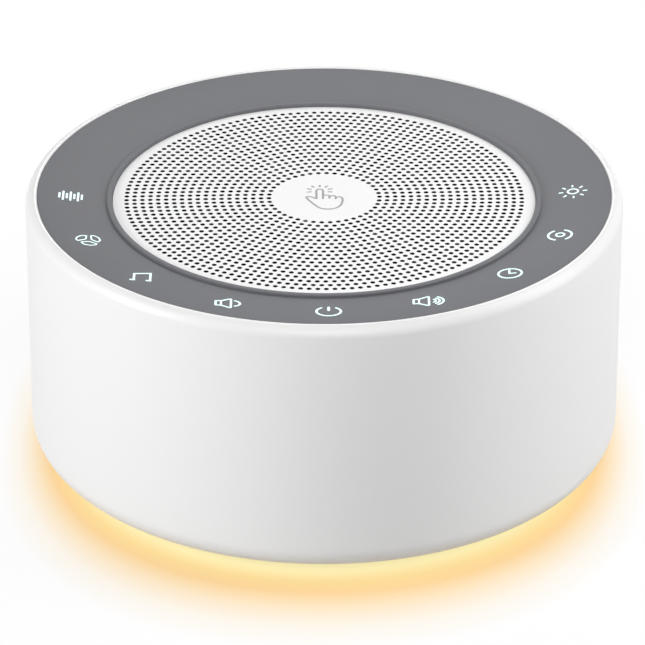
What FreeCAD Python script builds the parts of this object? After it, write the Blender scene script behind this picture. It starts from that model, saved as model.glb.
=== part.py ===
import FreeCAD, Part
import math
import os

# Bedside sound machine: a round white body with a sloping touch band round a
# perforated speaker grille, and a night light under its lower edge.
# Millimetres. The table top is z = 0, the axis is Z, and the front faces -Y.

# Body
body_radius = 55.0
body_height = 52.5
wall = 2.1
shoulder_radius = 3.0
lower_round_radius = 5.0
shoulder_steps = 3
lower_round_steps = 4
fit_gap = 0.1

# Lower edge and floor of the shell
lower_edge_height = 2.8
shell_floor_height = 5.0
shell_floor_thickness = 2.0
shell_floor_width = 19.5

# Ribs inside the wall, which carry the touch panel
rib_count = 8
rib_width = 1.6
rib_depth = 2.2

# Round pieces that are hidden inside are made in this many flat steps
inner_sides = 24

# Touch panel: a sloping band and a round bead
band_width = 12.8
band_drop = 1.74
band_thickness = 1.5
bead_width = 1.05
bead_steps = 3

# Deck under the panel, which carries the speaker and the grille
deck_depth = 2.0
deck_thickness = 1.8
deck_web = 2.4
deck_grip = 1.2
grille_rest_count = 6
grille_rest_width = 3.0
grille_rest_depth = 1.5

# Speaker grille: rings of holes, where ring k has six holes more than ring k - 1
grille_gap = 0.15
grille_step = 0.11
grille_thickness = 1.1
grille_edge_chamfer = 0.6
grille_plain_rim = 2.9
first_hole_ring = 2
last_hole_ring = 6
holes_per_ring_step = 6
hole_width = 2.9

# Touch sensor board, its nine lamps and the wells that keep their light apart
icon_count = 9
icon_spacing = 22.4
icon_middle = -89.2
icon_inset = 6.1
well_size = 6.4
well_wall = 0.8
well_height = 2.6
lamp_length = 3.0
lamp_width = 1.6
lamp_height = 0.9
touch_board_width = 8.6
touch_board_thickness = 1.2
touch_board_overhang = 9.0
touch_board_steps = 4

# Loudspeaker
speaker_flange_width = 57.0
speaker_flange_thickness = 1.2
speaker_corner_cut = 6.0
surround_thickness = 0.6
surround_lip_width = 1.4
surround_roll_width = 3.0
surround_seat_width = 2.0
surround_roll_steps = 3
basket_top_width = 52.0
basket_bottom_width = 32.0
basket_depth = 14.0
basket_wall = 1.2
basket_window_width = 20.0
cone_neck_radius = 11.2
cone_depth = 11.0
cone_thickness = 0.6
dust_cap_rise = 2.6
dust_cap_steps = 4
spider_thickness = 0.5
spider_width = 4.2
spider_rise = 2.0
spider_seat_width = 1.4
coil_length = 7.0
coil_thickness = 0.8
coil_gap = 0.6
magnet_gap = 0.4
magnet_height = 8.6
yoke_wall = 2.2
yoke_floor = 2.2

# Main board, its parts and the power inlet at the back
main_board_width = 62.0
main_board_depth = 56.0
main_board_thickness = 1.6
main_board_corner_cut = 5.0
main_board_height = 9.6
board_tongue_width = 18.0
post_width = 5.0
post_inset = 3.0
chip_width = 9.0
chip_thickness = 1.6
chip_offset_x = 14.0
chip_offset_y = 6.0
amplifier_width = 5.0
capacitor_radius = 3.15
capacitor_height = 7.0
capacitor_sides = 12
capacitor_inset_x = 8.0
capacitor_inset_y = 8.0
capacitor_spacing = 8.0
socket_width = 8.0
socket_depth = 4.5
socket_height = 5.0
socket_inset_x = 9.0
socket_inset_y = 6.0
socket_spacing = 14.0

inlet_width = 9.0
inlet_height = 3.2
inlet_depth = 7.4
inlet_wall = 0.35
inlet_tongue_width = 6.7
inlet_tongue_thickness = 0.7
inlet_tongue_inset = 0.9
port_width = 12.6
port_height = 6.8
port_corner = 2.4
port_sleeve_wall = 1.6
port_depth = 4.1

# Night light, base and feet
diffuser_width = 3.0
diffuser_gap = 0.15
light_board_sides = 12
light_board_width = 6.0
light_board_thickness = 1.0
light_lamp_length = 3.0
light_lamp_width = 1.6
light_lamp_height = 1.0
base_thickness = 1.2
base_lap = 1.3
foot_height = 0.7
foot_length = 16.0
foot_width = 6.0
foot_corner_cut = 1.5
foot_count = 4
foot_inset = 4.0
hook_count = 4
hook_width = 8.0
hook_thickness = 1.4
hook_barb = 1.2
hook_barb_height = 1.2

# Places worked out from the sizes above
top_z = body_height
inner_radius = body_radius - wall
shell_floor_top = shell_floor_height + shell_floor_thickness
rim_radius = body_radius - lower_round_radius
shell_floor_bore = inner_radius - shell_floor_width

panel_radius = inner_radius - fit_gap
crease_radius = inner_radius - band_width
crease_z = top_z - band_drop
panel_bore = crease_radius - bead_width
panel_under_z = crease_z - band_thickness
grille_radius = panel_bore - grille_gap
grille_top_z = crease_z - grille_step
grille_under_z = grille_top_z - grille_thickness
deck_top_z = grille_under_z - deck_depth
deck_under_z = deck_top_z - deck_thickness
deck_radius = panel_bore + deck_web
hole_ring_pitch = (grille_radius - grille_plain_rim) / last_hole_ring
icon_ring_radius = crease_radius + icon_inset

flange_top_z = deck_under_z - surround_thickness
flange_under_z = flange_top_z - speaker_flange_thickness
basket_under_z = flange_under_z - basket_depth
surround_outer = speaker_flange_width / 2 - fit_gap
speaker_frame_bore = surround_outer - surround_seat_width
cone_rim_radius = speaker_frame_bore - surround_roll_width
surround_inner = cone_rim_radius - surround_lip_width
speaker_bore_radius = surround_outer - deck_grip
cone_rim_z = deck_under_z - surround_thickness
cone_neck_z = cone_rim_z - cone_depth
coil_inner = cone_neck_radius - coil_thickness
coil_under_z = cone_neck_z - coil_length
yoke_inner = cone_neck_radius + coil_gap
yoke_outer = yoke_inner + yoke_wall
magnet_radius = coil_inner - magnet_gap
magnet_under_z = basket_under_z - magnet_height
yoke_under_z = magnet_under_z - yoke_floor
basket_floor_z = basket_under_z + basket_wall
spider_z = basket_floor_z + spider_rise
spider_outer = cone_neck_radius + spider_width

main_board_top = main_board_height + main_board_thickness
port_z = main_board_top + inlet_height / 2
port_inner_y = body_radius - port_depth

diffuser_outer = rim_radius - diffuser_gap
diffuser_inner = diffuser_outer - diffuser_width
base_top = foot_height + base_thickness
base_radius = diffuser_inner + base_lap
light_board_under = shell_floor_height - light_board_thickness
light_board_corner = diffuser_inner - diffuser_gap


def at(radius, z):
    return FreeCAD.Vector(radius, 0, z)


def turned(shape, degrees):
    copy = shape.copy()
    copy.rotate(FreeCAD.Vector(0, 0, 0), FreeCAD.Vector(0, 0, 1), degrees)
    return copy


def round_the_axis(shape, count, first=0.0):
    return [turned(shape, first + 360.0 / count * i) for i in range(count)]


def quarter_round(centre_radius, centre_z, radius, start, end, steps):
    # Points of an arc in the radial section, start and end in degrees from outwards.
    angles = [math.radians(start + (end - start) * i / steps) for i in range(steps + 1)]
    return [(centre_radius + radius * math.cos(a), centre_z + radius * math.sin(a)) for a in angles]


def lathe(section):
    points = [at(radius, z) for radius, z in section]
    face = Part.Face(Part.makePolygon(points + points[:1]))
    solid = face.revolve(FreeCAD.Vector(0, 0, 0), FreeCAD.Vector(0, 0, 1), 360)
    if solid.Volume < 0:
        solid.reverse()
    return solid


def many_sided(section, sides, first=0.0, span=360.0):
    # A turned piece in flat steps, for round pieces that are hidden inside.
    faces = []
    for i in range(sides):
        near = first + span / sides * i
        far = near + span / sides
        for (r0, z0), (r1, z1) in zip(section, section[1:] + section[:1]):
            if r0 == 0 and r1 == 0:
                continue
            points = [turned_point(r0, z0, near), turned_point(r1, z1, near)]
            if r1 > 0:
                points.append(turned_point(r1, z1, far))
            if r0 > 0:
                points.append(turned_point(r0, z0, far))
            faces.append(Part.Face(Part.makePolygon(points + points[:1])))
    if span < 360:
        for angle in (first, first + span):
            points = [turned_point(r, z, angle) for r, z in section]
            faces.append(Part.Face(Part.makePolygon(points + points[:1])))
    return closed(faces)


def turned_point(radius, z, degrees):
    angle = math.radians(degrees)
    return FreeCAD.Vector(radius * math.cos(angle), radius * math.sin(angle), z)


def closed(faces):
    shell = Part.Shell(faces)
    shell.sewShape()
    solid = Part.Solid(shell)
    if solid.Volume < 0:
        solid.reverse()
    return solid.removeSplitter()


def tapered(outline, lower_scale, lower_z, upper_scale, upper_z):
    # A straight-sided taper between two copies of one outline, scaled about the axis.
    lower = [FreeCAD.Vector(x * lower_scale, y * lower_scale, lower_z) for x, y in outline]
    upper = [FreeCAD.Vector(x * upper_scale, y * upper_scale, upper_z) for x, y in outline]
    rings = [lower, upper]
    for i in range(len(outline)):
        j = (i + 1) % len(outline)
        rings.append([lower[i], lower[j], upper[j], upper[i]])
    return closed([Part.Face(Part.makePolygon(points + points[:1])) for points in rings])


def block(size_x, size_y, size_z, x, y, z):
    # A block whose centre is at x, y and whose underside is at z.
    corner = FreeCAD.Vector(x - size_x / 2, y - size_y / 2, z)
    return Part.makeBox(size_x, size_y, size_z, corner)


def plate(outline, z, thickness):
    points = [FreeCAD.Vector(x, y, z) for x, y in outline]
    face = Part.Face(Part.makePolygon(points + points[:1]))
    return face.extrude(FreeCAD.Vector(0, 0, thickness))


def cut_corner_square(width, depth, cut):
    half_x = width / 2
    half_y = depth / 2
    return [
        (half_x, half_y - cut), (half_x - cut, half_y),
        (-half_x + cut, half_y), (-half_x, half_y - cut),
        (-half_x, -half_y + cut), (-half_x + cut, -half_y),
        (half_x - cut, -half_y), (half_x, -half_y + cut),
    ]


def regular_polygon(radius, sides, first=0.0):
    angles = [math.radians(first + 360.0 / sides * i) for i in range(sides)]
    return [(radius * math.cos(a), radius * math.sin(a)) for a in angles]


def rounded_slot(width, height, corner, y, length, z):
    # A bar along Y from y, with its section centred on x = 0 and z.
    bar = block(width, length, height, 0, y + length / 2, z - height / 2)
    edges = [e for e in bar.Edges if abs(e.Vertexes[0].Y - e.Vertexes[1].Y) > length / 2]
    return bar.makeFillet(corner, edges)


def save(name, solids):
    shape = solids[0] if len(solids) == 1 else Part.makeCompound(solids)
    shape.exportStep("parts/" + name + ".step")


def outer_shell():
    shoulder_centre = body_radius - shoulder_radius
    lip_angle = math.degrees(math.acos((inner_radius - shoulder_centre) / shoulder_radius))
    shoulder_centre_z = top_z - shoulder_radius * math.sin(math.radians(lip_angle))
    shoulder = quarter_round(shoulder_centre, shoulder_centre_z, shoulder_radius,
                             lip_angle, 0, shoulder_steps)
    lower_centre = body_radius - lower_round_radius
    lower_centre_z = lower_edge_height + lower_round_radius
    lower_round = quarter_round(lower_centre, lower_centre_z, lower_round_radius,
                                0, -90, lower_round_steps)
    section = shoulder + lower_round + [
        (rim_radius, shell_floor_height),
        (shell_floor_bore, shell_floor_height),
        (shell_floor_bore, shell_floor_top),
        (inner_radius, shell_floor_top),
    ]
    shell = lathe(section)

    # Ribs stand on the floor against the wall, and end under the touch panel.
    rib_height = panel_under_z - shell_floor_top
    rib = block(rib_depth + wall / 2, rib_width, rib_height,
                inner_radius - rib_depth + (rib_depth + wall / 2) / 2, 0, shell_floor_top)
    shell = shell.fuse(round_the_axis(rib, rib_count, 180.0 / rib_count))

    # Hooked posts carry the main board.
    post_x = main_board_width / 2 - post_inset
    post_y = main_board_depth / 2 - post_inset
    post_height = main_board_height - shell_floor_top
    posts = [block(post_width, post_width, post_height, x, y, shell_floor_top)
             for x in (-post_x, post_x) for y in (-post_y, post_y)]
    shell = shell.fuse(posts)

    # The power port is a pocket with a sleeve behind the wall.
    sleeve_length = body_radius - wall / 2 - port_inner_y
    sleeve = block(port_width + 2 * port_sleeve_wall, sleeve_length,
                   port_height + 2 * port_sleeve_wall,
                   0, port_inner_y + sleeve_length / 2,
                   port_z - port_height / 2 - port_sleeve_wall)
    shell = shell.fuse(sleeve)
    pocket = rounded_slot(port_width, port_height, port_corner,
                          port_inner_y - wall, body_radius, port_z)
    return shell.cut(pocket).removeSplitter()


def touch_panel():
    bead_centre = crease_radius - bead_width / 2
    bead = quarter_round(bead_centre, crease_z, bead_width / 2, 0, 180, bead_steps)
    return lathe([(panel_radius, top_z)] + bead + [
        (panel_bore, panel_under_z),
        (panel_radius, panel_under_z),
    ])


def speaker_deck():
    deck = many_sided([
        (speaker_bore_radius, deck_under_z),
        (deck_radius, deck_under_z),
        (deck_radius, panel_under_z),
        (panel_bore, panel_under_z),
        (panel_bore, deck_top_z),
        (speaker_bore_radius, deck_top_z),
    ], inner_sides)
    rest = block(grille_rest_depth, grille_rest_width, deck_depth,
                 grille_radius - grille_rest_depth / 2, 0, deck_top_z)
    return deck.fuse(round_the_axis(rest, grille_rest_count)).removeSplitter()


def speaker_grille():
    disc = lathe([
        (0, grille_under_z),
        (grille_radius, grille_under_z),
        (grille_radius, grille_top_z - grille_edge_chamfer),
        (grille_radius - grille_edge_chamfer, grille_top_z),
        (0, grille_top_z),
    ])
    corner_radius = hole_width / math.sqrt(3)
    hole = plate(regular_polygon(corner_radius, 6), grille_under_z - 1, grille_thickness + 2)
    holes = []
    for ring in range(first_hole_ring, last_hole_ring + 1):
        placed = hole.copy()
        placed.translate(FreeCAD.Vector(ring * hole_ring_pitch, 0, 0))
        holes += round_the_axis(placed, ring * holes_per_ring_step)
    return disc.cut(holes)


def icon_places():
    half = (icon_count - 1) / 2
    return [icon_middle + icon_spacing * (i - half) for i in range(icon_count)]


def icon_light_wells():
    outer = block(well_size, well_size, well_height,
                  icon_ring_radius, 0, panel_under_z - well_height)
    inner_size = well_size - 2 * well_wall
    inner = block(inner_size, inner_size, well_height,
                  icon_ring_radius, 0, panel_under_z - well_height)
    well = outer.cut(inner)
    return [turned(well, place) for place in icon_places()]


def touch_board():
    z = panel_under_z - well_height - touch_board_thickness
    inner = icon_ring_radius - touch_board_width / 2
    outer = icon_ring_radius + touch_board_width / 2
    section = [(inner, z), (outer, z),
               (outer, z + touch_board_thickness), (inner, z + touch_board_thickness)]
    span = icon_spacing * (icon_count - 1) + 2 * touch_board_overhang
    first = icon_places()[0] - touch_board_overhang
    return many_sided(section, icon_count * touch_board_steps, first, span)


def icon_lamps():
    lamp = block(lamp_width, lamp_length, lamp_height,
                 icon_ring_radius, 0, panel_under_z - well_height)
    return [turned(lamp, place) for place in icon_places()]


def speaker_frame():
    outline = cut_corner_square(speaker_flange_width, speaker_flange_width, speaker_corner_cut)
    flange = plate(outline, flange_under_z, speaker_flange_thickness)
    basket_outline = cut_corner_square(basket_top_width, basket_top_width, speaker_corner_cut)
    lower_scale = basket_bottom_width / basket_top_width
    inset = 2 * basket_wall / basket_top_width
    basket = tapered(basket_outline, lower_scale, basket_under_z, 1, flange_under_z)
    hollow = tapered(basket_outline, lower_scale - inset, basket_floor_z,
                     1 - inset, flange_under_z)
    frame = flange.fuse(basket).cut(hollow)

    window_height = basket_depth - 2 * spider_rise - 2 * basket_wall
    window = block(speaker_flange_width, basket_window_width, window_height,
                   0, 0, spider_z + basket_wall)
    frame = frame.cut([window, turned(window, 90)])

    spider_seat = many_sided([
        (spider_outer - spider_seat_width, basket_floor_z),
        (spider_outer, basket_floor_z),
        (spider_outer, spider_z),
        (spider_outer - spider_seat_width, spider_z),
    ], inner_sides)
    frame = frame.fuse(spider_seat)
    cone_bore = plate(regular_polygon(speaker_frame_bore, inner_sides),
                      flange_under_z - fit_gap, speaker_flange_thickness + 2 * fit_gap)
    coil_bore = plate(regular_polygon(yoke_inner, inner_sides),
                      basket_under_z - fit_gap, basket_wall + 2 * fit_gap)
    return frame.cut([cone_bore, coil_bore]).removeSplitter()


def speaker_yoke():
    return many_sided([
        (0, yoke_under_z),
        (yoke_outer, yoke_under_z),
        (yoke_outer, basket_under_z),
        (yoke_inner, basket_under_z),
        (yoke_inner, magnet_under_z),
        (0, magnet_under_z),
    ], inner_sides)


def speaker_magnet():
    return plate(regular_polygon(magnet_radius, inner_sides), magnet_under_z, magnet_height)


def speaker_cone():
    top = [(cone_rim_radius, cone_rim_z), (surround_inner, cone_rim_z)]
    neck = [(cone_neck_radius, cone_neck_z + cone_thickness)]
    under = [(0, cone_neck_z), (cone_neck_radius, cone_neck_z),
             (cone_rim_radius, cone_rim_z - cone_thickness)]
    cap = [(cone_neck_radius * r, cone_neck_z + cone_thickness + dust_cap_rise * z)
           for r, z in quarter_round(0, 0, 1, 0, 90, dust_cap_steps)]
    cap[-1] = (0, cap[-1][1])
    return many_sided(top + neck + cap[1:] + under, inner_sides)


def voice_coil():
    return many_sided([
        (coil_inner, coil_under_z),
        (cone_neck_radius, coil_under_z),
        (cone_neck_radius, cone_neck_z),
        (coil_inner, cone_neck_z),
    ], inner_sides)


def cone_surround():
    # A flat lip on the cone, a half roll, and a flat lip held between flange and deck.
    roll_radius = surround_roll_width / 2
    roll_centre = cone_rim_radius + roll_radius
    outer_roll = quarter_round(roll_centre, deck_under_z, roll_radius,
                               0, 180, surround_roll_steps)
    inner_roll = quarter_round(roll_centre, cone_rim_z, roll_radius - surround_thickness,
                               180, 0, surround_roll_steps)
    section = [(surround_outer, cone_rim_z), (surround_outer, deck_under_z)]
    section += outer_roll
    section += [(surround_inner, deck_under_z), (surround_inner, cone_rim_z)]
    section += inner_roll
    return many_sided(section, inner_sides)


def cone_spider():
    return many_sided([
        (cone_neck_radius, spider_z),
        (spider_outer, spider_z),
        (spider_outer, spider_z + spider_thickness),
        (cone_neck_radius, spider_z + spider_thickness),
    ], inner_sides)


def main_board():
    outline = cut_corner_square(main_board_width, main_board_depth, main_board_corner_cut)
    board = plate(outline, main_board_height, main_board_thickness)
    tongue_length = port_inner_y - fit_gap - main_board_depth / 4
    tongue = block(board_tongue_width, tongue_length, main_board_thickness,
                   0, main_board_depth / 4 + tongue_length / 2, main_board_height)
    return board.fuse(tongue).removeSplitter()


def power_inlet():
    inner_y = port_inner_y - inlet_depth
    radius = inlet_height / 2 - 0.01
    can = rounded_slot(inlet_width, inlet_height, radius, inner_y, inlet_depth, port_z)
    bore = rounded_slot(inlet_width - 2 * inlet_wall, inlet_height - 2 * inlet_wall,
                        radius - inlet_wall, inner_y + inlet_wall, inlet_depth, port_z)
    return can.cut(bore)


def power_inlet_tongue():
    length = inlet_depth - inlet_wall - inlet_tongue_inset
    y = port_inner_y - inlet_depth + inlet_wall + length / 2
    return block(inlet_tongue_width, length, inlet_tongue_thickness,
                 0, y, port_z - inlet_tongue_thickness / 2)


def light_diffuser():
    return lathe([
        (diffuser_inner, base_top),
        (diffuser_outer, base_top),
        (diffuser_outer, shell_floor_height),
        (diffuser_inner, shell_floor_height),
    ])


def night_light_board():
    outer = plate(regular_polygon(light_board_corner, light_board_sides),
                  light_board_under, light_board_thickness)
    inner = plate(regular_polygon(light_board_corner - light_board_width, light_board_sides),
                  light_board_under, light_board_thickness)
    return outer.cut(inner)


def night_light_lamps():
    side_distance = light_board_corner * math.cos(math.pi / light_board_sides)
    lamp = block(light_lamp_width, light_lamp_length, light_lamp_height,
                 side_distance - light_lamp_width / 2, 0, light_board_under - light_lamp_height)
    return round_the_axis(lamp, light_board_sides, 180.0 / light_board_sides)


def base_cover():
    plate_disc = Part.makeCylinder(base_radius, base_thickness, at(0, foot_height))
    hook_outer = math.sqrt((shell_floor_bore - fit_gap) ** 2 - (hook_width / 2) ** 2)
    hook_top = shell_floor_top + fit_gap + hook_barb_height
    stem = block(hook_thickness, hook_width, hook_top - base_top,
                 hook_outer - hook_thickness / 2, 0, base_top)
    barb = block(hook_thickness + hook_barb, hook_width, hook_barb_height,
                 hook_outer - hook_thickness + (hook_thickness + hook_barb) / 2, 0,
                 hook_top - hook_barb_height)
    hook = stem.fuse(barb).removeSplitter()
    return plate_disc.fuse(round_the_axis(hook, hook_count)).removeSplitter()


def rubber_feet():
    outline = cut_corner_square(foot_width, foot_length, foot_corner_cut)
    foot = plate(outline, 0, foot_height)
    foot.translate(FreeCAD.Vector(base_radius - foot_inset - foot_width / 2, 0, 0))
    return round_the_axis(foot, foot_count, 180.0 / foot_count)


def board_chips():
    chip = block(chip_width, chip_width, chip_thickness,
                 -chip_offset_x, chip_offset_y, main_board_top)
    amplifier = block(amplifier_width, amplifier_width, chip_thickness,
                      chip_offset_x, chip_offset_y, main_board_top)
    return [chip, amplifier]


def board_capacitors():
    outline = regular_polygon(capacitor_radius, capacitor_sides)
    can = plate(outline, main_board_top, capacitor_height)
    cans = []
    for i in range(2):
        x = main_board_width / 2 - capacitor_inset_x - capacitor_spacing * i
        placed = can.copy()
        placed.translate(FreeCAD.Vector(x, capacitor_inset_y - main_board_depth / 2, 0))
        cans.append(placed)
    return cans


def board_sockets():
    first_x = socket_inset_x - main_board_width / 2
    y = socket_inset_y - main_board_depth / 2
    return [block(socket_width, socket_depth, socket_height,
                  first_x + socket_spacing * i, y, main_board_top) for i in range(2)]


os.makedirs("parts", exist_ok=True)
save("outer_shell", [outer_shell()])
save("touch_panel", [touch_panel()])
save("speaker_deck", [speaker_deck()])
save("speaker_grille", [speaker_grille()])
save("icon_light_wells", icon_light_wells())
save("touch_board", [touch_board()])
save("icon_lamps", icon_lamps())
save("speaker_frame", [speaker_frame()])
save("speaker_yoke", [speaker_yoke()])
save("speaker_magnet", [speaker_magnet()])
save("speaker_cone", [speaker_cone()])
save("voice_coil", [voice_coil()])
save("cone_surround", [cone_surround()])
save("cone_spider", [cone_spider()])
save("main_board", [main_board()])
save("board_chips", board_chips())
save("board_capacitors", board_capacitors())
save("board_sockets", board_sockets())
save("power_inlet", [power_inlet()])
save("power_inlet_tongue", [power_inlet_tongue()])
save("light_diffuser", [light_diffuser()])
save("night_light_board", [night_light_board()])
save("night_light_lamps", night_light_lamps())
save("base_cover", [base_cover()])
save("rubber_feet", rubber_feet())
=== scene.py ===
import math

import bmesh
import bpy
from mathutils import Matrix, Vector
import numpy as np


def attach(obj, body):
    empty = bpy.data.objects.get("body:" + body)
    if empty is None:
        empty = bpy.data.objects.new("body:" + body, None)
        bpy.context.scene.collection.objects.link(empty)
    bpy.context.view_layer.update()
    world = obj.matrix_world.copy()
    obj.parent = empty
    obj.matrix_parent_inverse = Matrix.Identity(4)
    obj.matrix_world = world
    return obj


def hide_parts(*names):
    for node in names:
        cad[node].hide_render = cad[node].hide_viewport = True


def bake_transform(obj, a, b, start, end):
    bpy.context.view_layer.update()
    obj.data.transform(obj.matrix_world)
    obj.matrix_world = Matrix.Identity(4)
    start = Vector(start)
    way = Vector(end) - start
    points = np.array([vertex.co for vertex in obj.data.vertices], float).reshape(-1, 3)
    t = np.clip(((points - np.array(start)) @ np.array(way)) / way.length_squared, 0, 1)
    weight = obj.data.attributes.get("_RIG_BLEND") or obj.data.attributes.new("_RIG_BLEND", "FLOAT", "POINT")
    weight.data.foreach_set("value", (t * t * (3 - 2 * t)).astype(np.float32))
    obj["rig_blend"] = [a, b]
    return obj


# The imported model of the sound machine: a round white body with a touch band, a speaker
# grille and a night light. Its solids stay where they are, and the pieces below dress them.
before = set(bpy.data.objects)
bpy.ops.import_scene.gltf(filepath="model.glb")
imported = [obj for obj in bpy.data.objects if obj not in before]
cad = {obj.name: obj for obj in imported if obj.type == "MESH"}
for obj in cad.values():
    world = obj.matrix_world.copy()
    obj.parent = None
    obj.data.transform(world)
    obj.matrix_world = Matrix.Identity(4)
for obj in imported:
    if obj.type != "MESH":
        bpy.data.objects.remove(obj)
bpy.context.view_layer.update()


# The camera stands in front of the machine and a little above it, as in the photograph.
# It is a long lens with no shift, so that the round body is hardly drawn in perspective.
focal_length_px = 4596.2
image_width_px = 645
camera_place = (-0.00031, -0.7590, 0.4286)
camera_pitch = 28.03
lens = bpy.data.cameras.new("camera")
lens.sensor_width = 36.0
lens.lens = lens.sensor_width * focal_length_px / image_width_px
lens.clip_start = 0.01
camera = bpy.data.objects.new("camera", lens)
camera.location = camera_place
camera.rotation_euler = (math.radians(90.0 - camera_pitch), 0.0, 0.0)
bpy.context.scene.collection.objects.link(camera)
bpy.context.scene.camera = camera


# The outer shell is one moulding of white ABS, with a rounded shoulder, a tucked-in lower
# edge, an inner floor, eight ribs that carry the touch panel, and a pocket for the power
# inlet through the back wall. It has the satin grain of its mould, and a polished lip.
MM = 0.001


class Wire:
    """One output socket of a material, with the arithmetic that adds its Math nodes."""

    def __init__(self, tree, socket=None):
        self.tree = tree
        self.socket = socket

    def node(self, kind, settings, inputs, output=0):
        made = self.tree.nodes.new(kind)
        for name, value in settings.items():
            if name == "stops":
                ramp = made.color_ramp.elements
                while len(ramp) < len(value):
                    ramp.new(1.0)
                for stop, (place, shade) in zip(ramp, value):
                    stop.position = place
                    stop.color = shade
            else:
                setattr(made, name, value)
        for name, value in inputs.items():
            self.plug(made.inputs[name], value)
        return Wire(self.tree, made.outputs[output])

    def plug(self, socket, value):
        if isinstance(value, Wire):
            self.tree.links.new(value.socket, socket)
        else:
            socket.default_value = value

    def math(self, operation, first, second=0.0):
        return self.node("ShaderNodeMath", {"operation": operation}, {0: first, 1: second})

    def __add__(self, other):
        return self.math("ADD", self, other)

    def __radd__(self, other):
        return self.math("ADD", other, self)

    def __sub__(self, other):
        return self.math("SUBTRACT", self, other)

    def __rsub__(self, other):
        return self.math("SUBTRACT", other, self)

    def __mul__(self, other):
        return self.math("MULTIPLY", self, other)

    def __rmul__(self, other):
        return self.math("MULTIPLY", other, self)

    def __truediv__(self, other):
        return self.math("DIVIDE", self, other)

    def __gt__(self, other):
        return self.math("GREATER_THAN", self, other)

    def __lt__(self, other):
        return self.math("LESS_THAN", self, other)

    def clamped(self):
        return self.node("ShaderNodeClamp", {}, {"Value": self})

    def noise(self, scale, detail=2.0, roughness=0.5, stretch=(1.0, 1.0, 1.0)):
        place = self.node("ShaderNodeMapping", {}, {"Vector": self, "Scale": stretch})
        inputs = {"Vector": place, "Scale": scale, "Detail": detail, "Roughness": roughness}
        return self.node("ShaderNodeTexNoise", {}, inputs)

    def mixed(self, first, second):
        """The first colour where this mask is 0, and the second where it is 1."""
        settings = {"data_type": "RGBA", "clamp_factor": True}
        return self.node("ShaderNodeMix", settings, {0: self, 6: first, 7: second}, 2)

    def bump(self, strength, depth, under=None):
        inputs = {"Height": self, "Strength": strength, "Distance": depth}
        if under is not None:
            inputs["Normal"] = under
        return self.node("ShaderNodeBump", {}, inputs)

    def axis(self, name):
        return self.node("ShaderNodeSeparateXYZ", {}, {0: self}, name)

    def length(self):
        return self.node("ShaderNodeVectorMath", {"operation": "LENGTH"}, {0: self}, "Value")

    def from_axis(self):
        """How far a place is from the machine's axis."""
        settings = {"operation": "MULTIPLY"}
        return self.node("ShaderNodeVectorMath", settings, {0: self, 1: (1.0, 1.0, 0.0)}).length()

    def waves(self, frequency):
        """Even waves from -1 to 1 along this value, in radians per metre."""
        return self.math("SINE", self * frequency)

    def woven(self, frequency):
        """The mask of a plain weave: threads that cross along X and Y."""
        return (self.axis("X").waves(frequency) * self.axis("Y").waves(frequency)).clamped()

    def seen(self):
        """1 where the camera looks, straight, in a reflection or through something clear."""
        kinds = ("Is Camera Ray", "Is Glossy Ray", "Is Transmission Ray")
        straight, glossy, through = [self.node("ShaderNodeLightPath", {}, {}, kind)
                                     for kind in kinds]
        return (straight + glossy + through).clamped()


def colour(red, green, blue):
    """A colour as a screen shows it, 0 to 255, in the linear values that a shader takes."""
    parts = [part / 255.0 for part in (red, green, blue)]
    linear = [p / 12.92 if p < 0.04045 else ((p + 0.055) / 1.055) ** 2.4 for p in parts]
    return (*linear, 1.0)


def parts_of(look):
    """A material's shader node, and the place on the object that its patterns follow."""
    place = Wire(look.node_tree).node("ShaderNodeTexCoord", {}, {}, "Object")
    return look.node_tree.nodes["Principled BSDF"], place


def new_look(name):
    """A material, with its shader node and its place."""
    look = bpy.data.materials.new(name)
    look.use_nodes = True
    return look, *parts_of(look)


def moulded(name, tint, shade, rough, grain_size, grain_depth, gloss=0.5):
    """Moulded plastic: two close tints in soft clouds, and the fine grain of its mould."""
    look, shader, place = new_look(name)
    cloud = place.noise(45.0, 3.0)
    fleck = place.noise(900.0, 2.0)
    place.plug(shader.inputs["Base Color"], (cloud * 0.7 + fleck * 0.3).mixed(tint, shade))
    place.plug(shader.inputs["Roughness"], rough - 0.04 + cloud * 0.05 + fleck * 0.03)
    grain = place.noise(1.0 / grain_size, 3.0, 0.6)
    swell = place.noise(60.0, 2.0).bump(0.05, 0.0002)
    place.plug(shader.inputs["Normal"], grain.bump(0.25, grain_depth, swell))
    shader.inputs["Specular IOR Level"].default_value = gloss
    return look


def outline(shape, points, rounds=()):
    """A flat face in the XZ plane, from corners in mm. A round is (radius, steps, corners)."""
    corners = [shape.verts.new((x * MM, 0.0, z * MM)) for x, z in points]
    shape.faces.new(corners)
    for radius, steps, chosen in rounds:
        bmesh.ops.bevel(shape, geom=[corners[i] for i in chosen], offset=radius * MM,
                        segments=steps, profile=0.5, material=-1, affect="VERTICES")
    bmesh.ops.remove_doubles(shape, verts=shape.verts[:], dist=1e-7)


def spun(shape, points, rounds, steps):
    """A closed outline of radius and height, turned once round the axis."""
    ring = bmesh.new()
    outline(ring, points, rounds)
    bmesh.ops.delete(ring, geom=ring.faces[:], context="FACES_ONLY")
    on_axis = [e for e in ring.edges if max(v.co.x for v in e.verts) < 1e-6]
    bmesh.ops.delete(ring, geom=on_axis, context="EDGES")
    bmesh.ops.spin(ring, geom=ring.verts[:] + ring.edges[:], cent=(0, 0, 0), axis=(0, 0, 1),
                   angle=math.tau, steps=steps, use_merge=True)
    bmesh.ops.remove_doubles(ring, verts=ring.verts[:], dist=1e-7)
    bmesh.ops.recalc_face_normals(ring, faces=ring.faces[:])
    add_to(shape, ring)


def add_to(shape, other):
    """Puts a second bmesh into the first."""
    carried = bpy.data.meshes.new("carried")
    other.to_mesh(carried)
    other.free()
    shape.from_mesh(carried)
    bpy.data.meshes.remove(carried)


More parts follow.
